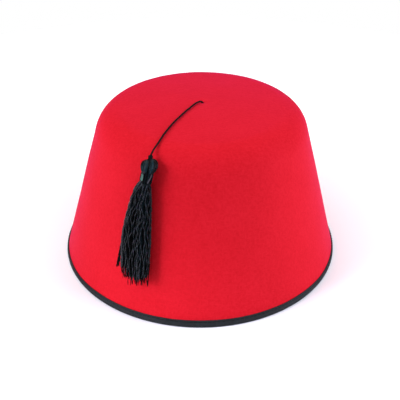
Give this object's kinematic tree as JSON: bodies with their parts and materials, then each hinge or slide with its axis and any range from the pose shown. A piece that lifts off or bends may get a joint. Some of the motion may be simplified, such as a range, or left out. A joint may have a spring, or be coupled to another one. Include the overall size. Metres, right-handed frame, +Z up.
{
  "type": "fez hat",
  "caption": "Red felt fez: tapered hollow crown with a rounded shoulder, a black folded binding at the rim, and a black tassel on a thin cord from the middle of the top.",
  "frame": {"origin": "centre of the rim's underside, on the surface the hat rests on", "axes": "+Z up along the crown's axis; -Y the front; +X to the right of someone looking at the front, with the tassel to the left of the front"},
  "size_m": [0.194, 0.194, 0.1096],
  "materials": {
    "red_felt": "matt wool felt",
    "black_ribbon": "ribbed ribbon, matt",
    "black_cord": "twisted cord, satin",
    "black_yarn": "crinkled yarn, satin"
  },
  "bodies": {
    "root": {"crown": "red_felt", "rim_binding": "black_ribbon", "tassel_cord": "black_cord", "stop_knot": "black_cord", "hanging_knot": "black_cord", "tassel": "black_yarn", "neck_wrap": "black_yarn"}
  },
  "joints": []
}
